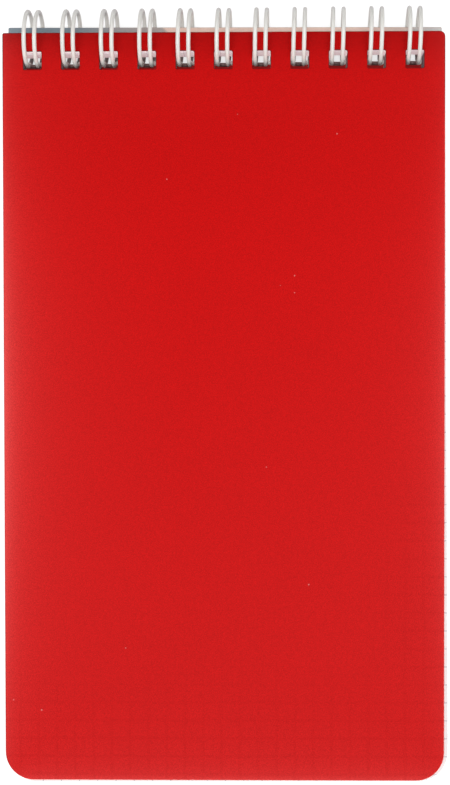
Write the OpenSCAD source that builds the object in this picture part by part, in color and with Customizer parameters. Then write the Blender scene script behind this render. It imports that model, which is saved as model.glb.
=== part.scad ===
// Top-bound notebook on a closed twin-loop wire: frosted plastic front cover, squared leaves, card back.
// The frame stands on the table: Z is up, +Y points to the wire and +X to the right of a reader.
// Each sheet is drawn beside the wire's axis and then turned about it until its free end rests.

/* [Sheets] */
// Width of the front cover
cover_w = 98; // [80:1:140]
// Length of the front cover
cover_l = 166.5; // [120:0.5:240]
// Thickness of the front cover's plastic
cover_t = 0.5; // [0.3:0.05:0.9]
// Width of the leaves
page_w = 98; // [80:1:140]
// Length of the leaves
page_l = 166.5; // [120:0.5:240]
// Thickness of all the leaves together
page_t = 4.8; // [3.6:0.1:5]
// Width of the back card
card_w = 98; // [80:1:140]
// Length of the back card
card_l = 167.3; // [120:0.1:240]
// Thickness of the back card
card_t = 0.5; // [0.3:0.05:0.6]
// Radius of the corners at the free end
corner_r = 6.35; // [2:0.05:12]
// Radius of the cover's and the leaves' corners at the bound edge
bound_corner_r = 1.2; // [0.4:0.1:2.5]
// Radius of the back card's corners at the bound edge
card_corner_r = 0.3; // [0.1:0.05:1.2]

/* [Holes] */
// Number of square holes, and of double loops
hole_count = 11; // [5:1:11]
// Distance from one hole to the next, three to the inch
pitch = 8.467; // [7.5:0.001:8.467]
// Side of a square hole
hole_side = 4; // [3.9:0.05:4.3]
// Plastic or paper between the holes and the bound edge
hole_margin = 4.1; // [3.8:0.05:4.3]
// Card between the holes and the bound edge
card_margin = 4.95; // [4.85:0.05:5.1]

/* [Wire] */
// Thickness of the coated wire
wire_d = 0.93; // [0.8:0.01:0.98]
// Radius of the closed ring at the middle of the wire
ring_r = 6; // [6:0.05:6.3]
// Distance between the two wires of a loop, middle to middle
loop_gap = 2.33; // [2:0.01:2.35]
// Radius of the bends at a loop's foot
foot_bend_r = 1; // [0.8:0.05:1.1]
// Straight wire left at the two cut ends
cut_end = 1.2; // [0.6:0.1:2]
// Sideways slant of the loops, in degrees
slant = 2.7; // [0:0.1:2.9]
// Turn along the ring from a loop's foot to the start of its closed tip, in degrees
tip_turn = 329; // [320:1:331]

/* [Lie of the sheets] */
// Bound edge of the front cover beyond the wire's axis
cover_reach = 0.69; // [0.3:0.01:0.8]
// Bound edge of the leaves beyond the wire's axis
page_reach = 0.34; // [0.1:0.01:0.6]
// Bound edge of the back card beyond the wire's axis
card_reach = 3.05; // [2.8:0.01:3.1]
// How far the back card's outer face lies below the wire's axis
card_drop = 4.25; // [4.1:0.01:4.3]
// Turn of the front cover in its own plane, in degrees
cover_skew = 0.3; // [0:0.05:0.35]
// Turn of the back card in its own plane, in degrees
card_skew = 0.5; // [0:0.05:0.5]
// Sideways shift of the back card on the wire
card_shift = -0.05; // [-0.2:0.05:0]
// Free space on each side of the wire where it closes
closing_gap = 0.06; // [0.04:0.01:0.12]
// Air between sheets that lie on each other
lay_gap = 0.03; // [0.01:0.01:0.05]

/* [Hidden] */
$fn = 48;
wire_fn = 16;
ring_fn = 72;

wire_r = wire_d / 2;
bead_r = wire_r + 0.012;
loop_half = loop_gap / 2;
row_w = (hole_count - 1) * pitch;

// Heights beside the axis, before the sheets are turned down
card_top = card_t - card_drop;
page_low = card_top + wire_d + 3 * closing_gap;
page_top = page_low + page_t;
cover_low = page_top + lay_gap;

// A slanted loop's two legs leave the ring along its tangent at the foot and bend there into the links:
// the left bend is rounder than the right one, so that both end on one line
leg_shift = loop_half * sin(slant);
link_t = (loop_half + foot_bend_r) * sin(slant) + foot_bend_r;
left_bend_r = (link_t + leg_shift) / (1 - sin(slant));
foot_right = (loop_half + foot_bend_r) * cos(slant);
foot_left = (loop_half + left_bend_r) * cos(slant);
link_r = sqrt(ring_r * ring_r + link_t * link_t);

// The links lie on the back card; the slant lowers the left rings a little, and those touch the table
link_over_card = acos((wire_r + closing_gap + card_top) / -link_r);
foot_over_card = link_over_card - atan(link_t / ring_r);
axis_z = ring_r + wire_r + leg_shift * sin(foot_over_card);

// Angles that bring the free ends down to the table and to the card
card_far = turned_far(card_w, card_l, card_reach, card_margin, card_skew);
page_far = page_l - page_reach;
card_tilt = asin((axis_z - card_drop) / card_far);
page_tilt = asin(sin(card_tilt) + (page_low - card_top - lay_gap) / page_far);

// The whole model is centred over its own footprint
left_end = max(page_w / 2,
               turned_side(cover_w, cover_l, hole_margin, cover_skew),
               turned_side(card_w, card_l, card_margin, card_skew) - card_shift);
right_end = max(page_w / 2,
                turned_head(cover_w, hole_margin, cover_skew, bound_corner_r),
                turned_head(card_w, card_margin, card_skew, card_corner_r) + card_shift);
free_end = max(page_far * cos(page_tilt) + page_top * sin(page_tilt),
               turned_far(cover_w, cover_l, cover_reach, hole_margin, cover_skew) * cos(page_tilt)
               + (cover_low + cover_t) * sin(page_tilt),
               card_far * cos(card_tilt) + card_top * sin(card_tilt));
centre_x = (right_end - left_end) / 2;
axis_y = (free_end - ring_r - wire_r - leg_shift * cos(foot_over_card)) / 2;

// Half the width that a sheet takes to the left once it is turned about its row of holes
function turned_side(w, l, margin, skew) =
    (w / 2 - corner_r) * cos(skew) + (l - margin - hole_side / 2 - corner_r) * sin(skew) + corner_r;

// Half the width that it takes to the right, at its bound edge
function turned_head(w, margin, skew, bound_r) =
    (w / 2 - bound_r) * cos(skew) + (margin + hole_side / 2 - bound_r) * sin(skew) + bound_r;

// Distance from the wire's axis to its lowest point at the free end
function turned_far(w, l, reach, margin, skew) =
    margin + hole_side / 2 - reach + (l - margin - hole_side / 2 - corner_r) * cos(skew)
    + (w / 2 - corner_r) * sin(skew) + corner_r;

// Puts what is drawn around the wire's axis at its place over the table
module on_axis() {
    translate([-centre_x, axis_y, axis_z]) children();
}

// A sheet's outline with its round corners, from the bound edge at y = 0 down to y = -l
module sheet_outline(w, l, bound_r) {
    translate([-w / 2, corner_r - l]) square([w, l - corner_r - bound_r]);
    translate([corner_r - w / 2, -l]) square([w - 2 * corner_r, l - corner_r]);
    translate([bound_r - w / 2, -l / 2]) square([w - 2 * bound_r, l / 2]);
    for (side = [-1, 1]) {
        translate([side * (w / 2 - corner_r), corner_r - l]) circle(corner_r);
        translate([side * (w / 2 - bound_r), -bound_r]) circle(bound_r);
    }
}

// The row of square holes, with the middle of the row at y = 0
module hole_row() {
    for (i = [0 : hole_count - 1])
        translate([i * pitch - row_w / 2, 0]) square(hole_side, center = true);
}

// A punched sheet from height low up to low + t, turned in its plane about its row of holes
module punched_sheet(w, l, t, low, reach, margin, skew = 0, shift = 0, bound_r = bound_corner_r) {
    row_y = margin + hole_side / 2;
    translate([shift, reach - row_y, low]) rotate(-skew) linear_extrude(t) difference() {
        translate([0, row_y]) sheet_outline(w, l, bound_r);
        hole_row();
    }
}

module front_cover() {
    color([0.80, 0.11, 0.11]) on_axis() rotate([page_tilt, 0, 0])
        punched_sheet(cover_w, cover_l, cover_t, cover_low, cover_reach, hole_margin, cover_skew);
}

module pages() {
    color([0.94, 0.92, 0.93]) on_axis() rotate([page_tilt, 0, 0])
        punched_sheet(page_w, page_l, page_t, page_low, page_reach, hole_margin);
}

module back_cover() {
    color([0.62, 0.58, 0.56]) on_axis() rotate([card_tilt, 0, 0])
        punched_sheet(card_w, card_l, card_t, -card_drop, card_reach, card_margin, card_skew, card_shift,
                      card_corner_r);
}

// A round bend of the wire about Z, from +X towards +Y, with a bead that closes its far end
module wire_bend(r, angle) {
    rotate_extrude(angle = angle) translate([r, 0]) circle(wire_r, $fn = wire_fn);
    rotate(angle) translate([r, 0]) sphere(bead_r, $fn = wire_fn);
}

// Two rings side by side about Z, with their feet at +X, and the closed tip that joins them
module double_ring() {
    for (side = [-1, 1])
        translate([0, 0, side * loop_half]) wire_bend(ring_r, tip_turn, $fn = ring_fn);
    rotate(tip_turn) translate([ring_r, 0]) rotate([0, 90, 0])
        rotate_extrude(angle = 180) translate([loop_half, 0]) circle(wire_r, $fn = wire_fn);
}

// The bends at the foot: the right leg turns to +Z and the left leg to -Z
module foot_bends() {
    for (side = [-1, 1]) {
        r = side > 0 ? foot_bend_r : left_bend_r;
        translate([ring_r, 0, side * loop_half]) sphere(bead_r, $fn = wire_fn);
        translate([ring_r, 0, side * (loop_half + r)]) rotate([0, side * 90, 180])
            wire_bend(r, 90 + side * slant);
    }
}

// The straight wire between two loops, or the cut end beside the first and the last
module links() {
    for (i = [0 : hole_count]) {
        start = i == 0 ? -foot_left - cut_end : i * pitch - pitch + foot_right;
        end = i == hole_count ? i * pitch - pitch + foot_right + cut_end : i * pitch - foot_left;
        translate([ring_r, -link_t, start]) cylinder(r = wire_r, h = end - start, $fn = wire_fn);
    }
}

module wire_spine() {
    color([0.90, 0.90, 0.88]) on_axis() rotate([90, 0, 90])
        rotate(270 - foot_over_card + card_tilt)
        translate([0, 0, -row_w / 2]) {
            for (i = [0 : hole_count - 1]) translate([0, 0, i * pitch]) rotate([slant, 0, 0]) {
                double_ring();
                foot_bends();
            }
            links();
        }
}

front_cover();
pages();
back_cover();
wire_spine();
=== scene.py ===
"""Builds the looks of a top-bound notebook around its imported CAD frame.

The frame lies on the floor: Z is up, +Y points to the wire and +X to the right of a reader. Every sheet is
worked out in its own plane, with the middle of its row of holes at (0, 0), and is then turned about the
wire's axis until it rests. All sizes are in metres.
"""

import math

import bpy
import numpy as np
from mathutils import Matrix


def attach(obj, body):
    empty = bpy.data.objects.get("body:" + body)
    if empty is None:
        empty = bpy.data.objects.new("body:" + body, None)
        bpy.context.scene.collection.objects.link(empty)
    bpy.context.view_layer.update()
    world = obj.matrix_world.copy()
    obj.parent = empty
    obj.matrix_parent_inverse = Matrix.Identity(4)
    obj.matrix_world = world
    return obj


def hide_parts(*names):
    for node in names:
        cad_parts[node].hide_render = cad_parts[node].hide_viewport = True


bl_info = {
    "name": "Twin-loop notebook",
    "version": (1, 0, 0),
    "blender": (4, 5, 0),
    "location": "3D View > Sidebar > Notebook",
    "description": "A frosted cover, squared leaves, a printed card and the wire that binds them",
    "category": "Add Mesh",
}

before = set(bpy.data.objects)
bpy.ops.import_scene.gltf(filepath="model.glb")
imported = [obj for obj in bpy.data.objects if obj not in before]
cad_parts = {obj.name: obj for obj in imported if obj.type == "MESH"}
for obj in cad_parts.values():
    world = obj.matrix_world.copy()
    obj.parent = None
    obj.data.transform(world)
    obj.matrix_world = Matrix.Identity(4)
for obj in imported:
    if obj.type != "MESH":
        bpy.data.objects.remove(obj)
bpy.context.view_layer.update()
BLACK = (0, 0, 0)


def screen(red, green, blue):
    """A colour as a screen shows it, 0 to 255 a channel, in the linear values that a shader takes."""
    share = np.array([red, green, blue]) / 255
    linear = np.where(share <= 0.04045, share / 12.92, ((share + 0.055) / 1.055) ** 2.4)
    return tuple(float(c) for c in linear)


def length(name, description, default):
    """A size in metres, shown in the scene's own unit."""
    return bpy.props.FloatProperty(
        name=name, description=description, default=default, unit="LENGTH", precision=5
    )


def angle(name, description, degrees):
    """An angle that is given in degrees here."""
    return bpy.props.FloatProperty(
        name=name, description=description, default=math.radians(degrees), subtype="ANGLE", precision=4
    )


def colour(name, description, red, green, blue):
    """A colour that is given as a screen shows it."""
    return bpy.props.FloatVectorProperty(
        name=name, description=description, default=screen(red, green, blue), subtype="COLOR", min=0, max=1
    )


class NotebookSheets(bpy.types.PropertyGroup):
    """Sizes and places of the cover, the leaves and the back card."""

    width: length("Width", "Width of each sheet", 0.098)
    cover_length: length("Cover length", "Length of the front cover", 0.1665)
    cover_thickness: length("Cover thickness", "Thickness of the plastic", 0.0005)
    cover_cut: length("Cover's cut edge", "Radius along the cover's cut edges", 0.00014)
    page_length: length("Leaf length", "Length of the leaves", 0.1665)
    page_thickness: length("Leaves' thickness", "Thickness of all the leaves together", 0.0048)
    card_length: length("Card length", "Length of the back card", 0.1673)
    card_thickness: length("Card thickness", "Thickness of the back card", 0.0005)
    card_cut: length("Card's cut edge", "Radius along the card's cut edges", 0.00006)

    free_corner: length("Free corners", "Radius of the corners at the free end", 0.00635)
    bound_corner: length("Bound corners", "Radius of the cover's and leaves' corners at the wire", 0.0012)
    cover_left_corner: length("Cover's left corner", "Radius of its left corner at the wire", 0.0004)
    card_corner: length("Card corners", "Radius of the card's corners at the wire", 0.0003)

    hole_side: length("Hole", "Side of a square hole", 0.004)
    hole_corner: length("Hole corner", "Radius that the punch leaves in a hole's corners", 0.0003)
    hole_margin: length("Margin", "Material between the holes and the bound edge", 0.0041)
    card_margin: length("Card margin", "Card between the holes and its bound edge", 0.00495)
    card_left_in: length("Card, left side", "How far the card's left side stands in", 0.00042)
    card_hole_low: length(
        "Card hole, low", "From the middle of the card's holes to their edge towards the free end", 0.00145
    )

    cover_top: length("Cover's face", "Height of its face over the wire's axis, before the tilt", 0.00269)
    page_top: length("Top leaf", "Height of the top leaf over the wire's axis, before the tilt", 0.00216)
    card_top: length("Card's face", "Height of its face over the wire's axis, before the tilt", -0.00375)
    cover_reach: length("Cover's reach", "Bound edge of the cover beyond the wire's axis", 0.00069)
    page_reach: length("Leaves' reach", "Bound edge of the leaves beyond the wire's axis", 0.00034)
    card_reach: length("Card's reach", "Bound edge of the card beyond the wire's axis", 0.00305)
    card_shift: length("Card's shift", "Sideways shift of the card on the wire", -0.00005)
    page_tilt: angle("Leaf tilt", "Angle at which the leaves slope down to the free end", 1.15756)
    card_tilt: angle("Card tilt", "Angle at which the card slopes down to the free end", 0.785092)
    cover_skew: angle("Cover turn", "Turn of the cover in its own plane", 0.3)
    card_skew: angle("Card turn", "Turn of the card in its own plane", 0.5)

    leaf_count: bpy.props.IntProperty(
        name="Leaves", description="Number of leaves whose edges show", default=48, min=10, max=90
    )
    square_across: length("Squares, across", "Width of the squares printed on the leaves", 0.00409)
    square_along: length("Squares, along", "Height of the squares printed on the leaves", 0.00403)
    squares_left: length("Squares, left", "Place of one printed line across the leaf", -0.0415)
    squares_top: length("Squares, top", "Place of one printed line along the leaf", -0.01394)
    squares_half: length("Squares, side", "Half the width that the printed squares cover", 0.0465)


class NotebookWire(bpy.types.PropertyGroup):
    """Sizes of the wire."""

    thickness: length("Wire", "Thickness of the coated wire", 0.00093)
    ring_radius: length("Ring radius", "Radius of the closed ring at the middle of the wire", 0.006)
    loop_gap: length("Loop width", "Distance between the two wires of a loop", 0.00233)
    foot_bend: length("Foot bend", "Radius of the bends at a loop's foot", 0.001)
    cut_end: length("Cut ends", "Straight wire left at the two ends", 0.0012)
    slant: angle("Slant", "Sideways slant of the loops", 2.7)
    foot_turn: angle("Foot", "Angle below the ring's middle at which the feet stand over the card", 47.678)
    tip_turn: angle("Tip", "Turn along the ring from a foot to the closed tip", 329)
    pitch: length("Pitch", "Distance from one loop to the next", 0.008467)
    loop_count: bpy.props.IntProperty(
        name="Loops", description="Number of double loops, and of holes", default=11, min=1, max=11
    )
    axis_x: length("Axis, across", "Middle of the row of loops along X", 0.000683631)
    axis_y: length("Axis, along", "Place of the wire's axis along Y", 0.0798339)
    axis_z: length("Axis, height", "Height of the wire's axis over the table", 0.00650558)


class NotebookColours(bpy.types.PropertyGroup):
    """Main colours of the materials. Each material breaks its own with a second tone."""

    cover: colour("Cover", "The frosted plastic over the leaves", 205, 15, 15)
    cover_free: colour("Cover at its free end", "The plastic where it lies on the leaves", 207, 30, 30)
    # Painted shade: dark red for the cover near the wire; it also colours the squares seen through the cover
    # and the painted glow below the card's holes
    cover_shade_red: colour("Cover at the wire", "The plastic where little light comes through", 170, 11, 11)
    # Painted light: lifts the wires' shadow on the cover between the two wires of a loop
    cover_painted_light_between: colour("Cover between wires", "Cover between the two wires of a loop", 211, 16, 15)
    # Painted light at the cover's sides and its free end
    cover_edge_light: colour("Cover at its sides", "The plastic where light comes in from the side", 250, 95, 93)
    # Painted highlight along the cover's cut edge
    cover_rim_highlight: colour("Cover's cut edge", "The cut edge, which gathers the light", 244, 76, 64)
    paper: colour("Paper", "The leaves", 249, 243, 242)
    paper_line: colour("Squares", "The lines printed on the leaves", 186, 184, 192)
    # Painted light: the glow on the holes' far walls
    hole_painted_glow: colour("Light in the holes", "Light through the leaves into their holes", 255, 226, 227)
    card_left: colour("Card, left field", "First field of colour on the card's face", 132, 146, 156)
    card_middle: colour("Card, middle field", "Second field of colour on the card's face", 253, 221, 205)
    card_right: colour("Card, right field", "Third field of colour on the card's face", 214, 206, 202)
    card_core: colour("Card's core", "The bare board at the edges and at the back", 178, 170, 158)
    wire: colour("Wire", "The wire's nylon coat", 242, 240, 235)
    wire_core: colour("Wire's core", "The steel at the cut ends", 150, 150, 152)
    # Painted shade on the coat at the closed tip and at the foot
    wire_shade: colour("Wire at its closed tip", "Coat of the wire where a loop is closed", 96, 66, 64)
    floor: colour("Floor", "Floor and background", 180, 180, 180)


def light_strength(name, description, default):
    """A light's strength."""
    return bpy.props.FloatProperty(name=name, description=description, default=default, min=0)


class NotebookStage(bpy.types.PropertyGroup):
    """Camera and lights."""

    camera_place: bpy.props.FloatVectorProperty(
        name="Camera",
        description="Place of the camera",
        default=(0.00686, 0.00199, 0.355),
        subtype="TRANSLATION",
        precision=5,
    )
    camera_turn: bpy.props.FloatVectorProperty(
        name="Camera's turn",
        description="Turn of the camera away from looking straight down",
        default=[math.radians(a) for a in (-0.21408, 1.03568, -0.36306)],
        subtype="EULER",
        precision=5,
    )
    lens: bpy.props.FloatProperty(
        name="Lens", description="Focal length in millimetres", default=71.692, precision=3
    )
    room_light: light_strength("Room", "Light from all sides", 0.42)
    overhead_light: light_strength("Overhead", "The wide lamp overhead", 2.6)
    floor_glow: light_strength("Floor's glow", "Light that the floor adds for the camera's own rays", 0.74)


class NotebookSettings(bpy.types.PropertyGroup):
    """All the sizes and colours of the notebook."""

    sheets: bpy.props.PointerProperty(type=NotebookSheets)
    wire: bpy.props.PointerProperty(type=NotebookWire)
    colours: bpy.props.PointerProperty(type=NotebookColours)
    stage: bpy.props.PointerProperty(type=NotebookStage)


def spaced(stops, step):
    """Rising numbers that hold every stop, with even gaps of at most one step between two stops."""
    stops = np.unique(np.round(stops, 9))
    runs = [
        np.linspace(a, b, max(1, math.ceil((b - a) / step - 1e-6)), endpoint=False)
        for a, b in zip(stops, stops[1:])
    ]
    return np.append(np.concatenate(runs), stops[-1])


def rounded(u, v, centre_u, centre_v, side_u, side_v, radius):
    """Rounds one corner of a lattice.

    A point of the corner's square keeps its direction from the square's inner end, and the larger of its two
    distances from there becomes its distance in a straight line. The square's two outer sides become one arc.
    """
    du = (u - centre_u) * side_u
    dv = (v - centre_v) * side_v
    limit = radius * 1.001
    inside = (du > 0) & (dv > 0) & (du <= limit) & (dv <= limit)
    share = np.where(inside, np.maximum(du, dv) / np.maximum(np.hypot(du, dv), 1e-12), 1)
    return centre_u + side_u * du * share, centre_v + side_v * dv * share


def punched_lattice(sheets, wire, sheet_length, margin, corners, left_in=0.0, hole_low=None):
    """A sheet's lattice of points (u, v) with its round corners, and which of its cells are kept.

    u runs across the sheet and v along it, on lines that pass through every corner, arc and hole edge. The
    cells inside the holes are left out. corners holds the left and the right radius at the bound edge.
    left_in is how far the sheet's left side stands in, and hole_low how far the holes go to the free end.
    """
    widest_cell = 0.0035
    half = sheets.width / 2
    near = margin + sheets.hole_side / 2
    far = near - sheet_length
    reach = sheets.hole_side / 2
    low = hole_low or reach
    nick = sheets.hole_corner
    free = sheets.free_corner
    middles = (np.arange(wire.loop_count) - (wire.loop_count - 1) / 2) * wire.pitch
    nicks = np.array([0, nick / 2, nick])
    across = np.concatenate([nicks - reach, reach - nicks])
    down = np.concatenate([nicks - low, reach - nicks])
    fine = np.linspace(0, free, 9)
    small = [np.linspace(0, corner, 5) for corner in corners]
    sides = [(-1, left_in - half, corners[0]), (1, half, corners[1])]
    at_sides = [edge - side * lines for (side, edge, _), few in zip(sides, small) for lines in (fine, few)]
    u_lines = spaced(np.concatenate([(middles[:, None] + across).ravel(), *at_sides]), widest_cell)
    v_lines = spaced(np.concatenate([down, far + fine, *(near - few for few in small)]), widest_cell)
    u, v = np.meshgrid(u_lines, v_lines, indexing="ij")
    cell_u = (u_lines[1:] + u_lines[:-1])[:, None] / 2
    cell_v = (v_lines[1:] + v_lines[:-1])[None, :] / 2
    in_hole = np.abs(cell_u - middles[np.argmin(np.abs(cell_u - middles), axis=1)][:, None]) < reach
    keep = ~(in_hole & (cell_v > -low) & (cell_v < reach))
    for side, edge, corner in sides:
        u, v = rounded(u, v, edge - side * free, far + free, side, -1, free)
        u, v = rounded(u, v, edge - side * corner, near - corner, side, 1, corner)
        for middle in middles:
            for end, depth in ((-1, low), (1, reach)):
                u, v = rounded(u, v, middle + side * (reach - nick), end * (depth - nick), side, end, nick)
    return u, v, keep


def raised(flat, height):
    """Points of a plane, each with a height as its third coordinate."""
    return np.append(flat, np.full((*flat.shape[:-1], 1), height), axis=-1)


def slab(u, v, keep, out, down, wobble=None):
    """A closed slab over a lattice: its face, its back, and walls that carry one profile along every edge.

    The profile's points lie out beyond the edge and down from the face. wobble(u, v, row) adds its own amount
    outwards to each point of a wall. Returns points, quads, the sheet coordinates and the share of the
    thickness of each point, and 0, 1 or 2 for a face, wall or back quad.
    """
    nv = v.shape[1]
    ci, cj = np.nonzero(keep)
    corner = ci * nv + cj
    cells = np.stack([corner, corner + nv, corner + nv + 1, corner + 1], axis=1)
    used, cells = np.unique(cells, return_inverse=True)
    cells = cells.reshape(-1, 4)
    flat = np.stack([u.ravel()[used], v.ravel()[used]], axis=1)
    count = len(flat)

    # An edge that no other cell runs along the other way lies on the rim
    edges = np.stack([cells, np.roll(cells, -1, axis=1)], axis=2).reshape(-1, 2)
    key = edges[:, 0] * count + edges[:, 1]
    rims = edges[~np.isin(key, edges[:, 1] * count + edges[:, 0])]
    run = flat[rims[:, 1]] - flat[rims[:, 0]]
    side = np.stack([run[:, 1], -run[:, 0]], axis=1)
    side /= np.linalg.norm(side, axis=1, keepdims=True)
    outward = np.zeros_like(flat)
    np.add.at(outward, rims[:, 0], side)
    np.add.at(outward, rims[:, 1], side)
    outward /= np.maximum((outward**2).sum(axis=1, keepdims=True) / 2, 1e-12)

    rim = np.unique(rims)
    place = np.full(count, -1)
    place[rim] = np.arange(len(rim))
    rows = np.arange(len(out))[:, None]
    push = out[:, None] + (0 if wobble is None else wobble(flat[rim, 0], flat[rim, 1], rows))
    wall_flat = flat[rim] + outward[rim] * push[..., None]
    face_flat = flat.copy()
    face_flat[rim] = wall_flat[0]
    back_flat = flat.copy()
    back_flat[rim] = wall_flat[-1]
    wall = raised(wall_flat, -down[:, None, None])
    face = raised(face_flat, -down[0])
    back = raised(back_flat, -down[-1])
    points = np.concatenate([face, back, wall[1:-1].reshape(-1, 3)])

    inner = len(out) - 2
    index = np.empty((len(out), len(rim)), int)
    index[0] = rim
    index[-1] = count + rim
    index[1:-1] = 2 * count + np.arange(inner * len(rim)).reshape(inner, -1)
    a, b = place[rims[:, 0]], place[rims[:, 1]]
    walls = np.stack([index[:-1, a], index[1:, a], index[1:, b], index[:-1, b]], axis=-1).reshape(-1, 4)
    quads = np.concatenate([cells, count + cells[:, ::-1], walls])
    kind = np.repeat([0, 2, 1], [len(cells), len(cells), len(walls)])
    wall_depth = np.repeat(np.arange(1, inner + 1) / (inner + 1), len(rim))
    depth = np.concatenate([np.zeros(count), np.ones(count), wall_depth])
    return points, quads, points[:, :2].copy(), depth, kind


def rounded_edge(thickness, radius, steps=3):
    """Profile of a sheet's cut edge: a straight wall between a quarter circle at the face and at the back."""
    turn = np.linspace(0, math.pi / 2, steps + 1)
    out = radius * (np.sin(turn) - 1)
    down = radius * (1 - np.cos(turn))
    return np.append(out, out[::-1]), np.append(down, thickness - down[::-1])


def sheet_place(points, wire, top, reach, row, skew, shift, tilt):
    """Moves a sheet from its own plane to its place.

    The sheet's face goes to the height top beside the wire's axis and its bound edge to reach beyond it. It
    is turned in its plane about the middle of its holes, and the whole is turned down about the axis by tilt.
    """
    u, v, w = points.T
    x = shift + u * math.cos(skew) + v * math.sin(skew)
    y = reach - row - u * math.sin(skew) + v * math.cos(skew)
    z = top + w
    return np.stack(
        [
            x + wire.axis_x,
            y * math.cos(tilt) - z * math.sin(tilt) + wire.axis_y,
            y * math.sin(tilt) + z * math.cos(tilt) + wire.axis_z,
        ],
        axis=1,
    )


def new_piece(name, points, faces, materials, kind=0, maps=None, smooth=True):
    """A mesh object from whole arrays.

    kind is each face's material, and smooth says which faces are shaded smoothly. Both are one value or one
    for each face. maps holds a UV map for each pair of values that goes with the points.
    """
    mesh = bpy.data.meshes.new(name)
    mesh.from_pydata(points.tolist(), [], faces)
    for material in materials:
        mesh.materials.append(material)
    mesh.polygons.foreach_set("material_index", np.full(len(faces), kind, np.int32))
    mesh.polygons.foreach_set("use_smooth", np.full(len(faces), smooth, bool))
    corner = np.empty(len(mesh.loops), np.int32)
    mesh.loops.foreach_get("vertex_index", corner)
    for label, values in (maps or {}).items():
        layer = mesh.uv_layers.new(name=label)
        layer.data.foreach_set("uv", values[corner].astype(np.float32).ravel())
    mesh.validate()
    mesh.update()
    piece = bpy.data.objects.new(name, mesh)
    bpy.context.scene.collection.objects.link(piece)
    return piece


def fill(tree, socket, value):
    """Joins an input to another node's output, or sets its value."""
    if isinstance(value, bpy.types.NodeSocket):
        tree.links.new(value, socket)
    else:
        socket.default_value = value


def add(tree, kind, inputs=None, **settings):
    """Adds a node, sets it up and joins or fills its inputs."""
    node = tree.nodes.new(kind)
    for key, value in settings.items():
        setattr(node, key, value)
    for key, value in (inputs or {}).items():
        fill(tree, node.inputs[key], value)
    return node


def maths(tree, operation, a, b=0.0, clamp=False):
    """One step of arithmetic on values."""
    return add(tree, "ShaderNodeMath", {0: a, 1: b}, operation=operation, use_clamp=clamp).outputs[0]


def product(tree, first, *others):
    """Values multiplied together."""
    for other in others:
        first = maths(tree, "MULTIPLY", first, other)
    return first


def ramp(tree, value, low, high, start=0.0, end=1.0):
    """Carries a value smoothly from low to high on to start to end."""
    limits = {"Value": value, "From Min": low, "From Max": high, "To Min": start, "To Max": end}
    return add(tree, "ShaderNodeMapRange", limits, interpolation_type="SMOOTHSTEP").outputs["Result"]


def mixed(tree, factor, first, second, way="MIX"):
    """Two colours mixed by a factor."""
    node = add(tree, "ShaderNodeMix", {0: factor}, data_type="RGBA", blend_type=way)
    for socket, value in ((node.inputs[6], first), (node.inputs[7], second)):
        fill(tree, socket, value if isinstance(value, bpy.types.NodeSocket) else (*value[:3], 1))
    return node.outputs[2]


def shaded(tree, tone, shade):
    """A colour made lighter or darker by a value around 1."""
    grey = add(tree, "ShaderNodeCombineColor", {0: shade, 1: shade, 2: shade}).outputs[0]
    return mixed(tree, 1.0, tone, grey, "MULTIPLY")


def parts_of(tree, vector):
    """The X, Y and Z of a vector."""
    return add(tree, "ShaderNodeSeparateXYZ", {"Vector": vector}).outputs


def own_map(tree, name):
    """A piece's own UV map as a vector."""
    return add(tree, "ShaderNodeUVMap", uv_map=name).outputs["UV"]


def on_sheet(tree):
    """A sheet's own coordinates as a vector, and that vector's X across the sheet and Y along it."""
    at = own_map(tree, "sheet")
    return at, parts_of(tree, at)


def on_object(tree):
    """Object coordinates as a vector."""
    return add(tree, "ShaderNodeTexCoord").outputs["Object"]


def noise(tree, at, scale, detail, **more):
    """A noise pattern's value."""
    inputs = {"Vector": at, "Scale": scale, "Detail": detail, **more}
    return add(tree, "ShaderNodeTexNoise", inputs).outputs["Fac"]


def stretched_noise(tree, at, scale):
    """Noise drawn out into marks, with its own scale on each axis."""
    at = add(tree, "ShaderNodeMapping", {"Vector": at, "Scale": scale}).outputs["Vector"]
    return noise(tree, at, 1.0, 2.0)


def new_group(name, inputs, outputs):
    """An empty shader node group.

    An input is a value with its default, or a vector where the default is None. All outputs are values.
    """
    tree = bpy.data.node_groups.new(name, "ShaderNodeTree")
    for label, default in inputs.items():
        kind = "NodeSocketVector" if default is None else "NodeSocketFloat"
        socket = tree.interface.new_socket(label, in_out="INPUT", socket_type=kind)
        if default is not None:
            socket.default_value = default
    for label in outputs:
        tree.interface.new_socket(label, in_out="OUTPUT", socket_type="NodeSocketFloat")
    return tree, tree.nodes.new("NodeGroupInput").outputs, tree.nodes.new("NodeGroupOutput").inputs


def grain_group(name):
    """Two sizes of noise in one height, and a slow cloud that changes a colour over the surface.

    The pattern is turned, so that its lattice never lines up with a sheet's sides.
    """
    inputs = {"Vector": None, "Scale": 2500.0, "Coarse": 0.4}
    tree, given, made = new_group(name, inputs, ["Height", "Cloud"])
    turned = {"Vector": given["Vector"], "Rotation": (0.5, 0.3, 0.7)}
    at = add(tree, "ShaderNodeMapping", turned).outputs["Vector"]
    fine = noise(tree, at, given["Scale"], 2.0, Roughness=0.6)
    wide = noise(tree, at, product(tree, given["Scale"], 0.18), 1.0)
    cloud = noise(tree, at, product(tree, given["Scale"], 0.012), 3.0)
    height = add(tree, "ShaderNodeMix", {"Factor": given["Coarse"], "A": fine, "B": wide}, data_type="FLOAT")
    tree.links.new(height.outputs["Result"], made["Height"])
    tree.links.new(cloud, made["Cloud"])
    return tree


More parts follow.
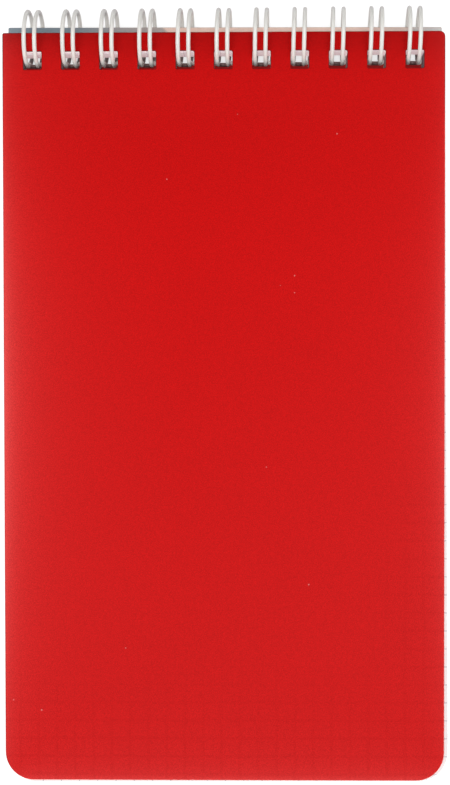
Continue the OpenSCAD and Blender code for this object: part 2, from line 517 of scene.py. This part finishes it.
def dust_group(name):
    """Sparse round specks: the cells of a Voronoi pattern whose own random colour passes a threshold."""
    tree, given, made = new_group(name, {"Vector": None, "Scale": 400.0, "Share": 0.03}, ["Speck"])
    pattern = {"Vector": given["Vector"], "Scale": given["Scale"], "Randomness": 1.0}
    cells = add(tree, "ShaderNodeTexVoronoi", pattern, voronoi_dimensions="2D").outputs
    chance = add(tree, "ShaderNodeSeparateColor", {"Color": cells["Color"]}).outputs
    chosen = maths(tree, "LESS_THAN", chance["Red"], given["Share"])
    size = maths(tree, "ADD", product(tree, chance["Green"], 0.03), 0.03)
    speck = maths(tree, "LESS_THAN", cells["Distance"], size)
    tree.links.new(product(tree, chosen, speck), made["Speck"])
    return tree


def squares_group(name):
    """Printed squares: thin lines where either coordinate comes near a whole number of squares."""
    inputs = {"Vector": None, "Width": 0.004, "Height": 0.004, "Line": 0.0001}
    inputs |= {"Start U": 0.0, "Start V": 0.0, "Last U": 1.0}
    tree, given, made = new_group(name, inputs, ["Line"])
    axes = parts_of(tree, given["Vector"])
    half = maths(tree, "DIVIDE", given["Line"], 2.0)
    soft_edge = product(tree, half, 0.6)
    lines = []
    for axis, size, start in (("X", "Width", "Start U"), ("Y", "Height", "Start V")):
        placed = maths(tree, "SUBTRACT", axes[axis], given[start])
        away = maths(tree, "PINGPONG", placed, maths(tree, "DIVIDE", given[size], 2.0))
        beyond = maths(tree, "DIVIDE", maths(tree, "SUBTRACT", away, half), soft_edge)
        lines.append(maths(tree, "SUBTRACT", 1.0, maths(tree, "ADD", beyond, 0.0, clamp=True)))
    inside = maths(tree, "LESS_THAN", maths(tree, "ABSOLUTE", axes["X"]), given["Last U"])
    lines[0] = product(tree, lines[0], inside)
    tree.links.new(maths(tree, "MAXIMUM", *lines), made["Line"])
    return tree


def shared(tree, name, build, inputs):
    """Places a node group, built the first time that it is asked for, and returns its outputs."""
    group = bpy.data.node_groups.get(name) or build(name)
    return add(tree, "ShaderNodeGroup", inputs, node_tree=group).outputs


def grained(tree, at, scale, coarse):
    """The surface grain, with its scale and its share of the coarser noise."""
    return shared(tree, "Surface grain", grain_group, {"Vector": at, "Scale": scale, "Coarse": coarse})


def specks(tree, at, scale, share):
    """Specks on a sheet, with their scale and the share of the pattern's cells that hold one."""
    return shared(tree, "Dust", dust_group, {"Vector": at, "Scale": scale, "Share": share})["Speck"]


def printed_squares(tree, sheets, at, line):
    """The leaves' printed squares in a sheet's coordinates, with lines of the given thickness."""
    inputs = {
        "Vector": at,
        "Width": sheets.square_across,
        "Height": sheets.square_along,
        "Line": line,
        "Start U": sheets.squares_left,
        "Start V": sheets.squares_top,
        "Last U": sheets.squares_half,
    }
    return shared(tree, "Printed squares", squares_group, inputs)["Line"]


def new_material(name):
    """A material with its node tree and the inputs of its Principled BSDF."""
    material = bpy.data.materials.new(name)
    material.use_nodes = True
    tree = material.node_tree
    return material, tree, tree.nodes["Principled BSDF"].inputs


def finished(tree, shader, tone, roughness, specular, bump=None, ior=1.5):
    """Gives a shader its colour, roughness and shine, and a bump of a height, a strength and a distance."""
    tree.links.new(tone, shader["Base Color"])
    fill(tree, shader["Roughness"], roughness)
    shader["Specular IOR Level"].default_value = specular
    shader["IOR"].default_value = ior
    if bump:
        node = add(tree, "ShaderNodeBump", dict(zip(("Height", "Strength", "Distance"), bump)))
        tree.links.new(node.outputs["Normal"], shader["Normal"])


def glowing(tree, shader, tone, mask, strength):
    """A painted glow: lets a surface shine a little in a colour where the mask is 1."""
    tree.links.new(mixed(tree, mask, BLACK, tone), shader["Emission Color"])
    shader["Emission Strength"].default_value = strength


def painted_edge_light(tree, distance, scale, strength, less):
    """Painted light that comes in at a sheet's edge: strength / (1 + distance / scale) - less.

    It is below 0 far from the edge, which the later clamp turns into no light.
    """
    inside = maths(tree, "MAXIMUM", distance, 0.0)
    spread = maths(tree, "ADD", maths(tree, "DIVIDE", inside, scale), 1.0)
    light = maths(tree, "DIVIDE", 1.0, spread)
    return maths(tree, "SUBTRACT", product(tree, light, strength), less)


def frosted_plastic(sheets, wire, colours):
    """Cover plastic: lighter at the free end, painted shade at the wire, painted light at the sides."""
    material, tree, shader = new_material("frosted_plastic")
    at, axes = on_sheet(tree)
    across, along = axes["X"], axes["Y"]
    grain = grained(tree, at, 5200.0, 0.02)
    free_end = sheets.cover_length - sheets.hole_margin - sheets.hole_side / 2
    from_free_end = maths(tree, "ADD", along, free_end)
    tone = mixed(tree, ramp(tree, from_free_end, 0.150, -0.020), colours.cover, colours.cover_free)
    # Painted shade: the cover darkens towards the wire, a little over a wide band and fully close to it
    tone = mixed(tree, ramp(tree, along, -0.0450, -0.0060, 0.0, 0.18), tone, colours.cover_shade_red)
    tone = mixed(tree, ramp(tree, along, -0.0050, 0.0085), tone, colours.cover_shade_red)
    # Painted shade at the cover's left corner by the wire
    at_bound_edge = ramp(tree, along, 0.0025, 0.0062, 0.0, 0.4)
    left_corner = product(tree, at_bound_edge, ramp(tree, across, -0.022, -0.042))
    tone = mixed(tree, left_corner, tone, screen(130, 8, 8))

    # Painted light: the cover is drawn lighter between the two wires of a loop, where their shadow falls
    aside = maths(tree, "PINGPONG", across, wire.pitch / 2)
    between = product(tree, ramp(tree, aside, 0.0014, 0.0008), ramp(tree, along, 0.0015, 0.0024), 0.8)
    tone = mixed(tree, between, tone, colours.cover_painted_light_between)

    # Painted light: the sides are drawn brightest half way along, where neither the wire nor the round
    # corners are near. The free end's edge is lit the same way.
    half = sheets.width / 2
    side_depth = 0.0014
    left = painted_edge_light(tree, maths(tree, "ADD", across, half), side_depth, 0.80, 0.025)
    right = painted_edge_light(tree, maths(tree, "SUBTRACT", half, across), side_depth, 0.40, 0.008)
    rising = ramp(tree, along, 0.002, -0.075, 0.26, 1.0)
    falling = ramp(tree, along, -0.075, -0.165, 1.0, 0.25)
    sides = product(tree, maths(tree, "MAXIMUM", left, right), rising, falling)
    end = painted_edge_light(tree, from_free_end, 0.0009, 0.38, 0.01)
    tone = mixed(tree, maths(tree, "MAXIMUM", sides, end, clamp=True), tone, colours.cover_edge_light)

    # Where the sheet lies close on the leaves, their printed squares show faintly through it
    close = product(tree, ramp(tree, across, 0.027, 0.046, 0.0, 0.9), ramp(tree, along, -0.065, -0.125))
    close = maths(tree, "MAXIMUM", close, ramp(tree, from_free_end, 0.032, 0.006))
    squares = product(tree, printed_squares(tree, sheets, at, 0.0005), close, 0.095)
    tone = mixed(tree, squares, tone, colours.cover_shade_red)

    cloud = ramp(tree, grain["Cloud"], 0.3, 0.7, 0.993, 1.007)
    fine = ramp(tree, grain["Height"], 0.25, 0.75, 0.80, 1.20)
    tone = shaded(tree, tone, product(tree, cloud, fine))
    tone = mixed(tree, product(tree, specks(tree, at, 318.0, 0.008), 0.28), tone, screen(244, 190, 185))
    roughness = ramp(tree, grain["Height"], 0.2, 0.8, 0.44, 0.58)
    finished(tree, shader, tone, roughness, 0.02, (grain["Height"], 0.25, 0.00004), 1.49)
    return material


def cut_plastic(colours):
    """The cover's cut edge: a painted highlight, with painted shade at the wire and in the holes."""
    material, tree, shader = new_material("cut_plastic")
    axes = on_sheet(tree)[1]
    grain = grained(tree, on_object(tree), 4200.0, 0.3)
    tone = mixed(tree, ramp(tree, grain["Height"], 0.3, 0.7, 0.0, 0.3), colours.cover_rim_highlight, colours.cover)
    # Painted shade on the cut edge at the wire and the holes
    tone = mixed(tree, ramp(tree, axes["Y"], -0.020, -0.003), tone, screen(132, 12, 13))
    finished(tree, shader, tone, 0.4, 0.1, (grain["Height"], 0.3, 0.00003), 1.49)
    return material


def in_hole_columns(tree, sheets, wire, axes):
    """1 within half a hole's width of the middle of a hole across the sheet, and 0 between the holes."""
    aside = maths(tree, "PINGPONG", axes["X"], wire.pitch / 2)
    return ramp(tree, aside, sheets.hole_side / 2, sheets.hole_side / 2 + 0.0002, 1.0, 0.0)


def painted_glow_in_holes(tree, shader, sheets, wire, colours, axes, tone):
    """Painted light: the far wall of each hole glows a little, standing in for light that comes through the
    paper.
    """
    far_wall = maths(tree, "ABSOLUTE", maths(tree, "SUBTRACT", axes["Y"], sheets.hole_side / 2))
    in_row = ramp(tree, far_wall, 0.0004, 0.0006, 1.0, 0.0)
    glow = mixed(tree, 1.0, tone, colours.hole_painted_glow, "MULTIPLY")
    glowing(tree, shader, glow, product(tree, in_row, in_hole_columns(tree, sheets, wire, axes)), 0.44)


def squared_paper(sheets, wire, colours):
    """Uncoated paper with printed squares."""
    material, tree, shader = new_material("squared_paper")
    at, axes = on_sheet(tree)
    grain = grained(tree, at, 2600.0, 0.5)
    line_width = 0.00016
    tone = mixed(tree, ramp(tree, grain["Cloud"], 0.3, 0.7, 0.0, 0.35), colours.paper, screen(236, 228, 230))
    squares = product(tree, printed_squares(tree, sheets, at, line_width), 0.75)
    tone = mixed(tree, squares, tone, colours.paper_line)
    finished(tree, shader, tone, 0.85, 0.2, (grain["Height"], 0.2, 0.00003))
    painted_glow_in_holes(tree, shader, sheets, wire, colours, axes, tone)
    return material


def leaf_edges(sheets, wire, colours):
    """The leaves' cut edges: fine lines between the leaves, and ticks where the printed lines run off.

    Painted shade darkens the holes' other walls, and a painted glow lights their far wall.
    """
    material, tree, shader = new_material("leaf_edges")
    at, axes = on_sheet(tree)
    grain = grained(tree, at, 2600.0, 0.5)
    tick_width = 0.00022
    in_leaves = product(tree, parts_of(tree, own_map(tree, "depth"))["X"], float(sheets.leaf_count))
    from_seam = product(tree, maths(tree, "PINGPONG", in_leaves, 0.5), 3.4)
    seam = maths(tree, "SUBTRACT", 1.0, maths(tree, "ADD", from_seam, 0.0, clamp=True))
    leaf = {"W": maths(tree, "FLOOR", in_leaves)}
    leaf_tone = add(tree, "ShaderNodeTexWhiteNoise", leaf, noise_dimensions="1D").outputs["Value"]
    tone = mixed(tree, ramp(tree, grain["Cloud"], 0.3, 0.7, 0.0, 0.35), colours.paper, screen(238, 230, 231))
    tone = mixed(tree, product(tree, leaf_tone, 0.3), tone, screen(224, 216, 216))
    tone = mixed(tree, product(tree, seam, 0.4), tone, screen(180, 170, 170))
    ticks = product(tree, printed_squares(tree, sheets, at, tick_width), 0.75)
    tone = mixed(tree, ticks, tone, colours.paper_line)
    # Painted shade on the hole walls other than the far one
    near_row = ramp(tree, maths(tree, "ABSOLUTE", axes["Y"]), sheets.hole_side / 2, 0.0026, 1.0, 0.0)
    not_far_wall = ramp(tree, axes["Y"], 0.0014, 0.0018, 1.0, 0.0)
    inner = product(tree, near_row, not_far_wall, in_hole_columns(tree, sheets, wire, axes), 0.8)
    tone = mixed(tree, inner, tone, screen(120, 96, 100))
    finished(tree, shader, tone, 0.85, 0.2, (grain["Height"], 0.2, 0.00003))
    painted_glow_in_holes(tree, shader, sheets, wire, colours, axes, tone)
    return material


def bare_board(colours):
    """Bare grey board with short fibres and darker flecks."""
    material, tree, shader = new_material("bare_board")
    at = own_map(tree, "sheet")
    grain = grained(tree, at, 1800.0, 0.6)
    fibre = stretched_noise(tree, at, (900.0, 5200.0, 1.0))
    tone = mixed(tree, ramp(tree, fibre, 0.35, 0.7), colours.card_core, screen(160, 152, 142))
    tone = mixed(tree, ramp(tree, grain["Cloud"], 0.3, 0.7, 0.0, 0.3), tone, screen(192, 184, 172))
    tone = mixed(tree, product(tree, specks(tree, at, 900.0, 0.03), 0.5), tone, screen(96, 88, 84))
    finished(tree, shader, tone, 0.9, 0.2, (grain["Height"], 0.35, 0.00005))
    return material


def printed_card(sheets, wire, colours):
    """The card's face: three fields of plain colour that meet on slanting lines, under a thin matt varnish.

    Below the holes the face carries dark painted shade, with a faint painted glow in the cover's red.
    """
    material, tree, shader = new_material("printed_card")
    at, axes = on_sheet(tree)
    across, along = axes["X"], axes["Y"]
    grain = grained(tree, at, 2200.0, 0.5)
    slanting = maths(tree, "ADD", across, product(tree, along, 0.9))
    leaning_back = maths(tree, "ADD", across, product(tree, along, -0.5))
    cool = mixed(tree, ramp(tree, across, -0.038, -0.014), colours.card_left, screen(190, 178, 174))
    warm = mixed(tree, ramp(tree, across, 0.026, 0.040), colours.card_middle, screen(236, 210, 198))
    tone = mixed(tree, ramp(tree, slanting, -0.0080, -0.0070), cool, warm)
    tone = mixed(tree, ramp(tree, leaning_back, 0.0370, 0.0400), tone, colours.card_right)
    # Painted shade below each hole, and a faint painted red glow there
    painted_shade_below_holes = product(
        tree,
        ramp(tree, along, 0.0, -0.0006),
        ramp(tree, along, -0.0036, -0.0028),
        in_hole_columns(tree, sheets, wire, axes),
    )
    tone = mixed(tree, painted_shade_below_holes, tone, screen(70, 22, 24))
    tone = shaded(tree, tone, ramp(tree, grain["Height"], 0.25, 0.75, 0.94, 1.06))
    finished(tree, shader, tone, 0.5, 0.35, (grain["Height"], 0.15, 0.00003))
    glowing(tree, shader, colours.cover_shade_red, painted_shade_below_holes, 0.45)
    return material


def nylon(wire, colours):
    """The wire's white coat: smooth, a little uneven, with faint drawing marks along it.

    Places on a loop are given as the turn along the ring, from the foot. Painted shade darkens the foot and
    the closed tip, and a little where the ring reaches furthest out. A faint painted glow lights the ring's
    lower half.
    """
    material, tree, shader = new_material("nylon_coat")
    marks = stretched_noise(tree, own_map(tree, "wire"), (240.0, 9.0, 1.0))
    grain = grained(tree, on_object(tree), 3800.0, 0.7)
    turn = parts_of(tree, own_map(tree, "turn"))["X"]
    tone = mixed(tree, ramp(tree, marks, 0.3, 0.7, 0.0, 0.35), colours.wire, screen(226, 226, 220))
    # Painted shade where the ring reaches furthest out
    painted_shade_outermost = product(tree, ramp(tree, turn, 2.0, 2.4), ramp(tree, turn, 3.2, 2.7, 0.0, 0.6))
    tone = mixed(tree, painted_shade_outermost, tone, screen(210, 200, 200))
    # Painted shade at the closed tip and at the foot
    painted_shade_at_tip = ramp(tree, turn, wire.tip_turn - 0.20, wire.tip_turn - 0.02, 0.0, 0.92)
    painted_shade_at_foot = ramp(tree, turn, 0.70, 0.30, 0.0, 0.85)
    tone = mixed(tree, maths(tree, "MAXIMUM", painted_shade_at_tip, painted_shade_at_foot), tone, colours.wire_shade)
    # Painted glow on the ring's lower half
    painted_glow_lower_half = product(tree, ramp(tree, turn, 0.9, 1.3), ramp(tree, turn, 2.5, 2.1))
    roughness = ramp(tree, marks, 0.3, 0.7, 0.26, 0.38)
    finished(tree, shader, tone, roughness, 0.5, (grain["Height"], 0.12, 0.00003), 1.53)
    glowing(tree, shader, tone, painted_glow_lower_half, 0.10)
    return material


def cut_steel(colours):
    """The wire's steel core where it is cut."""
    material, tree, shader = new_material("cut_steel")
    grain = grained(tree, on_object(tree), 9000.0, 0.5)
    tone = mixed(tree, ramp(tree, grain["Height"], 0.3, 0.7), colours.wire_core, screen(112, 112, 116))
    finished(tree, shader, tone, 0.35, 0.5, (grain["Height"], 0.3, 0.00002))
    shader["Metallic"].default_value = 1.0
    return material


def pale_floor(stage, colours):
    """A plain matt floor that keeps the notebook's shadow.

    It glows for the rays that the camera sees it by, also through a shiny or clear surface, so it turns out
    white away from the shadow.
    """
    material, tree, shader = new_material("studio_floor")
    grain = grained(tree, on_object(tree), 300.0, 0.5)
    tone = mixed(tree, ramp(tree, grain["Height"], 0.3, 0.7), colours.floor, screen(177, 177, 177))
    finished(tree, shader, tone, 0.9, 0.1)
    path = add(tree, "ShaderNodeLightPath").outputs
    seen = maths(tree, "ADD", path["Is Camera Ray"], path["Is Glossy Ray"])
    seen = maths(tree, "ADD", seen, path["Is Transmission Ray"], clamp=True)
    glow = {"Color": (1, 1, 1, 1), "Strength": product(tree, seen, stage.floor_glow)}
    glow = add(tree, "ShaderNodeEmission", glow).outputs[0]
    total = add(tree, "ShaderNodeAddShader", {0: tree.nodes["Principled BSDF"].outputs[0], 1: glow})
    tree.links.new(total.outputs[0], tree.nodes["Material Output"].inputs["Surface"])
    return material


def finish_piece(piece, body, node):
    """Lets a finished piece ride on its body and stand for its CAD node."""
    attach(piece, body)
    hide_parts(node)


class NOTEBOOK_OT_front_cover(bpy.types.Operator):
    """Adds the frosted plastic front cover."""

    bl_idname = "notebook.front_cover"
    bl_label = "Front cover"

    def execute(self, context):
        kit = context.scene.notebook
        sheets, wire = kit.sheets, kit.wire
        corners = (sheets.cover_left_corner, sheets.bound_corner)
        u, v, keep = punched_lattice(sheets, wire, sheets.cover_length, sheets.hole_margin, corners)
        out, down = rounded_edge(sheets.cover_thickness, sheets.cover_cut)
        points, quads, at, _, kind = slab(u, v, keep, out, down)
        row = sheets.hole_margin + sheets.hole_side / 2
        points = sheet_place(
            points, wire, sheets.cover_top, sheets.cover_reach, row, sheets.cover_skew, 0, sheets.page_tilt
        )
        plastic = frosted_plastic(sheets, wire, kit.colours)
        materials = [plastic, cut_plastic(kit.colours), plastic]
        piece = new_piece("front_cover_plastic", points, quads.tolist(), materials, kind, {"sheet": at})
        finish_piece(piece, "front_cover", "front_cover")
        return {"FINISHED"}


class NOTEBOOK_OT_pages(bpy.types.Operator):
    """Adds the block of squared leaves."""

    bl_idname = "notebook.pages"
    bl_label = "Leaves"

    def execute(self, context):
        kit = context.scene.notebook
        sheets, wire = kit.sheets, kit.wire
        corners = (sheets.bound_corner, sheets.bound_corner)
        u, v, keep = punched_lattice(sheets, wire, sheets.page_length, sheets.hole_margin, corners)
        rows = 2 * sheets.leaf_count + 1
        down = np.linspace(0, sheets.page_thickness, rows)
        seam_in, most_back, wave_height = 0.00002, 0.00002, 0.000008
        out = np.where(np.arange(rows) % 2, 0, -seam_in)
        draw = np.random.default_rng(7)
        phase = draw.uniform(0, 2 * math.pi, (2, rows))
        swing = draw.uniform(-most_back, 0.0, rows)

        def wobble(at_u, at_v, row):
            """Each leaf's edge stands back by its own amount, which changes slowly along the edge."""
            wave = np.sin(at_u * 45 + phase[0][row]) + np.sin(at_v * 35 + phase[1][row])
            return swing[row] + (wave - 2) * wave_height

        points, quads, at, depth, kind = slab(u, v, keep, out, down, wobble)
        row = sheets.hole_margin + sheets.hole_side / 2
        points = sheet_place(points, wire, sheets.page_top, sheets.page_reach, row, 0, 0, sheets.page_tilt)
        face = squared_paper(sheets, wire, kit.colours)
        materials = [face, leaf_edges(sheets, wire, kit.colours), face]
        maps = {"sheet": at, "depth": np.stack([depth, 0 * depth], axis=1)}
        piece = new_piece("page_block", points, quads.tolist(), materials, kind, maps, smooth=False)
        finish_piece(piece, "pages", "pages")
        return {"FINISHED"}


class NOTEBOOK_OT_back_cover(bpy.types.Operator):
    """Adds the printed back card."""

    bl_idname = "notebook.back_cover"
    bl_label = "Back card"

    def execute(self, context):
        kit = context.scene.notebook
        sheets, wire = kit.sheets, kit.wire
        corners = (sheets.card_corner, sheets.card_corner)
        left_in, low = sheets.card_left_in, sheets.card_hole_low
        size = (sheets.card_length, sheets.card_margin)
        u, v, keep = punched_lattice(sheets, wire, *size, corners, left_in, low)
        out, down = rounded_edge(sheets.card_thickness, sheets.card_cut, 2)
        points, quads, at, _, kind = slab(u, v, keep, out, down)
        row = sheets.card_margin + sheets.hole_side / 2
        skew, shift, tilt = sheets.card_skew, sheets.card_shift, sheets.card_tilt
        points = sheet_place(points, wire, sheets.card_top, sheets.card_reach, row, skew, shift, tilt)
        board = bare_board(kit.colours)
        materials = [printed_card(sheets, wire, kit.colours), board, board]
        piece = new_piece("back_card", points, quads.tolist(), materials, kind, {"sheet": at})
        finish_piece(piece, "back_cover", "back_cover")
        return {"FINISHED"}


def wire_path(wire, shift, slant):
    """The middle line of the whole wire.

    Each loop is made of a bend at its left foot, an arc once round the ring, a half circle across at the tip,
    the arc back, and a bend at its right foot. It leans by its own slant about the line through its foot, and
    the two bends have the radii that bring both feet down to the same straight line. Returns the points, and
    for each of them the direction away from the ring's middle and the turn along the ring. In the bends the
    turn rises from 0 at the ring to a quarter at the links, which keeps the links clear of the foot's shade.
    """
    ring, half, foot, tip = wire.ring_radius, wire.loop_gap / 2, wire.foot_bend, wire.tip_turn
    link = (half + foot) * math.sin(wire.slant) + foot
    s = slant[:, None]
    left = (link + half * np.sin(s)) / (1 - np.sin(s))
    right = (link - half * np.sin(s)) / (1 + np.sin(s))
    arc = np.linspace(0, tip, 86)
    back = arc[::-1]
    across = np.linspace(0, math.pi, 15)[1:-1]
    bend = np.linspace(0, 1, 10)
    left_turn = bend[:0:-1] * (math.pi / 2 - s)
    right_turn = bend[1:] * (math.pi / 2 + s)
    sections = [
        (ring + 0 * left_turn, -left * np.sin(left_turn), -half - left + left * np.cos(left_turn)),
        (ring * np.cos(arc), ring * np.sin(arc), -half + 0 * arc),
        (
            ring * math.cos(tip) - half * np.sin(across) * math.sin(tip),
            ring * math.sin(tip) + half * np.sin(across) * math.cos(tip),
            -half * np.cos(across),
        ),
        (ring * np.cos(back), ring * np.sin(back), half + 0 * back),
        (ring + 0 * right_turn, -right * np.sin(right_turn), half + right - right * np.cos(right_turn)),
    ]
    one = np.ones_like(s)
    x, y, z = (np.concatenate([one * section[axis] for section in sections], axis=1) for axis in range(3))
    middles = (np.arange(len(slant)) - (len(slant) - 1) / 2) * wire.pitch + shift
    leaning_y = y * np.cos(s) - z * np.sin(s)
    leaning_z = y * np.sin(s) + z * np.cos(s) + middles[:, None]
    points = np.stack([x, leaning_y, leaning_z], axis=-1)

    bend_zeros = np.zeros(len(bend) - 1)
    turn = np.concatenate([bend_zeros, arc, np.full(len(across), tip), back, bend_zeros])
    out_x, out_y = one * np.cos(turn), one * np.sin(turn)
    away = np.stack([out_x, out_y * np.cos(s), out_y * np.sin(s)], axis=-1)
    points, away = points.reshape(-1, 3), away.reshape(-1, 3)
    cut_end = np.array([[0, 0, wire.cut_end]])
    points = np.concatenate([points[:1] - cut_end, points, points[-1:] + cut_end])
    away = np.concatenate([away[:1], away, away[-1:]])
    quarter = math.pi / 2
    turn[: len(bend_zeros)] = bend[:0:-1] * quarter
    turn[-len(bend_zeros) :] = bend[1:] * quarter
    return points, away, np.concatenate([[quarter], np.tile(turn, len(slant)), [quarter]])


def swept_tube(path, away, radius, sides):
    """A circle carried along a path, open at both ends.

    The circle's first axis is the given direction away from the ring, made square to the path, and its
    second axis is the cross product of the path's direction with the first. Returns points, quads, for each
    point the distance along the wire and the turn round it, and the path's directions.
    """
    along = np.gradient(path, axis=0)
    along /= np.linalg.norm(along, axis=1, keepdims=True)
    first = away - (away * along).sum(axis=1, keepdims=True) * along
    first /= np.linalg.norm(first, axis=1, keepdims=True)
    second = np.cross(along, first)
    turn = np.arange(sides) / sides * 2 * math.pi
    circle = first[:, None] * np.cos(turn)[:, None] + second[:, None] * np.sin(turn)[:, None]
    points = (path[:, None] + circle * radius).reshape(-1, 3)
    rings = np.arange(len(path) - 1)[:, None] * sides
    here = np.arange(sides)[None]
    after = (here + 1) % sides
    quads = np.stack([rings + here, rings + after, rings + sides + after, rings + sides + here], axis=-1)
    run = np.append(0, np.cumsum(np.linalg.norm(np.diff(path, axis=0), axis=1)))
    around = np.tile(turn / (2 * math.pi), len(path))
    return points, quads.reshape(-1, 4), np.stack([np.repeat(run, sides), around], axis=1), along


def cut_ends(path, along, tube, radius, sides):
    """Closes a tube at each end with a flat ring of coat round the steel core, which stands out a little.

    Returns the points that are added to the tube's, the faces, and for each face 0 for coat or 1 for core.
    """
    core_share, core_out = 0.8, radius * 0.06
    here = np.arange(sides)
    after = (here + 1) % sides
    extra, faces = [], []
    for number, (end, start) in enumerate(((0, 0), (-1, len(tube) - sides))):
        outwards = 2 * number - 1
        base = len(tube) + number * (sides + 1)
        core = path[end] + (tube[start : start + sides] - path[end]) * core_share
        extra += [core, path[end][None] + outwards * along[end] * core_out]
        ring = np.stack([start + here, base + here, base + after, start + after], axis=1)
        disc = np.stack([base + here, np.full(sides, base + sides), base + after], axis=1)
        faces += ring[:, ::-outwards].tolist() + disc[:, ::-outwards].tolist()
    return np.concatenate(extra), faces, np.tile(np.repeat([0, 1], sides), 2)


class NOTEBOOK_OT_wire_spine(bpy.types.Operator):
    """Adds the coated wire with its double loops."""

    bl_idname = "notebook.wire_spine"
    bl_label = "Wire"

    def execute(self, context):
        kit = context.scene.notebook
        wire = kit.wire
        most_shift = 0.00004
        least_slant, most_slant = -0.3, 0.1
        draw = np.random.default_rng(11)
        shift = draw.uniform(-most_shift, most_shift, wire.loop_count)
        slant = wire.slant + np.radians(draw.uniform(least_slant, most_slant, wire.loop_count))
        path, away, turn = wire_path(wire, shift, slant)
        radius, sides = wire.thickness / 2, 18
        tube, quads, at, along = swept_tube(path, away, radius, sides)
        extra, end_faces, end_kind = cut_ends(path, along, tube, radius, sides)
        points = np.concatenate([tube, extra])
        at = np.concatenate([at, np.zeros((len(extra), 2))])
        turn = np.concatenate([np.repeat(turn, sides), np.zeros(len(extra))])

        # The rings are drawn in the XY plane from their feet at +X, and are turned to stand on the card
        to_card = 1.5 * math.pi - wire.foot_turn + kit.sheets.card_tilt
        y = points[:, 0] * math.cos(to_card) - points[:, 1] * math.sin(to_card) + wire.axis_y
        z = points[:, 0] * math.sin(to_card) + points[:, 1] * math.cos(to_card) + wire.axis_z
        points = np.stack([points[:, 2] + wire.axis_x, y, z], axis=1)
        kind = np.concatenate([np.zeros(len(quads)), end_kind])
        smooth = np.arange(len(kind)) < len(quads)
        materials = [nylon(wire, kit.colours), cut_steel(kit.colours)]
        maps = {"wire": at, "turn": np.stack([turn, 0 * turn], axis=1)}
        faces = quads.tolist() + end_faces
        piece = new_piece("coated_wire_spine", points, faces, materials, kind, maps, smooth)
        finish_piece(piece, "wire_spine", "wire_spine")
        return {"FINISHED"}


def aim_camera(scene, stage):
    """Adds the camera that looks down on the notebook."""
    camera = bpy.data.cameras.new("camera")
    camera.lens = stage.lens
    camera.sensor_width = 36
    camera.clip_start = 0.01
    camera_object = bpy.data.objects.new("camera", camera)
    camera_object.location = stage.camera_place
    camera_object.rotation_euler = stage.camera_turn
    scene.collection.objects.link(camera_object)
    scene.camera = camera_object


def light_room(scene, stage):
    """Lights the scene from all sides, most from the free end's, and by a wide lamp overhead.

    The camera itself sees plain white instead.
    """
    world = bpy.data.worlds.new("studio")
    world.use_nodes = True
    tree = world.node_tree
    toward = add(tree, "ShaderNodeTexCoord").outputs["Generated"]
    from_wire = product(tree, parts_of(tree, toward)["Y"], 0.9)
    room = product(tree, maths(tree, "SUBTRACT", 1.0, from_wire), stage.room_light)
    lamp_direction = {0: toward, 1: (-0.03, -0.03, 1.0)}
    overhead = add(tree, "ShaderNodeVectorMath", lamp_direction, operation="DOT_PRODUCT").outputs["Value"]
    lamp = ramp(tree, overhead, 0.80, 0.97, 0.0, stage.overhead_light)
    seen = add(tree, "ShaderNodeLightPath").outputs["Is Camera Ray"]
    inputs = {"Factor": seen, "A": maths(tree, "ADD", room, lamp), "B": 1.0}
    light = add(tree, "ShaderNodeMix", inputs, data_type="FLOAT").outputs["Result"]
    background = tree.nodes["Background"].inputs
    tree.links.new(light, background["Strength"])
    background["Color"].default_value = (1, 1, 1, 1)
    scene.world = world


def flat_square(half, cells):
    """A flat square on the floor's height, with the given number of cells along each side."""
    line = np.linspace(-half, half, cells + 1)
    x, y = np.meshgrid(line, line, indexing="ij")
    points = np.stack([x.ravel(), y.ravel(), 0 * x.ravel()], axis=1)
    start = (np.arange(cells)[:, None] * (cells + 1) + np.arange(cells)[None]).ravel()
    quads = np.stack([start, start + cells + 1, start + cells + 2, start + 1], axis=1)
    return points, quads.tolist()


class NOTEBOOK_OT_stage(bpy.types.Operator):
    """Adds the camera, the lights, the background and the floor."""

    bl_idname = "notebook.stage"
    bl_label = "Stage"

    def execute(self, context):
        scene = context.scene
        kit = scene.notebook
        aim_camera(scene, kit.stage)
        light_room(scene, kit.stage)
        scene.view_settings.view_transform = "Standard"
        points, quads = flat_square(3, 8)
        new_piece("studio_floor", points, quads, [pale_floor(kit.stage, kit.colours)])
        return {"FINISHED"}


class NOTEBOOK_PT_panel(bpy.types.Panel):
    """Lists the steps and the sizes in the 3D view's sidebar."""

    bl_idname = "NOTEBOOK_PT_panel"
    bl_label = "Notebook"
    bl_space_type = "VIEW_3D"
    bl_region_type = "UI"
    bl_category = "Notebook"

    def draw(self, context):
        kit = context.scene.notebook
        for step in OPERATORS:
            self.layout.operator(step.bl_idname)
        for group in (kit.sheets, kit.wire, kit.colours, kit.stage):
            box = self.layout.box()
            for key in group.__annotations__:
                box.prop(group, key)


OPERATORS = (
    NOTEBOOK_OT_stage,
    NOTEBOOK_OT_back_cover,
    NOTEBOOK_OT_pages,
    NOTEBOOK_OT_front_cover,
    NOTEBOOK_OT_wire_spine,
)
SETTINGS = (NotebookSheets, NotebookWire, NotebookColours, NotebookStage, NotebookSettings)
CLASSES = (*SETTINGS, *OPERATORS, NOTEBOOK_PT_panel)


def register():
    """Makes the settings, the steps and the panel known to Blender."""
    for part in CLASSES:
        bpy.utils.register_class(part)
    bpy.types.Scene.notebook = bpy.props.PointerProperty(type=NotebookSettings)


def unregister():
    """Takes them away again."""
    del bpy.types.Scene.notebook
    for part in reversed(CLASSES):
        bpy.utils.unregister_class(part)


def main():
    """Builds the whole scene."""
    register()
    bpy.ops.notebook.stage()
    bpy.ops.notebook.back_cover()
    bpy.ops.notebook.pages()
    bpy.ops.notebook.front_cover()
    bpy.ops.notebook.wire_spine()


if __name__ == "__main__":
    main()
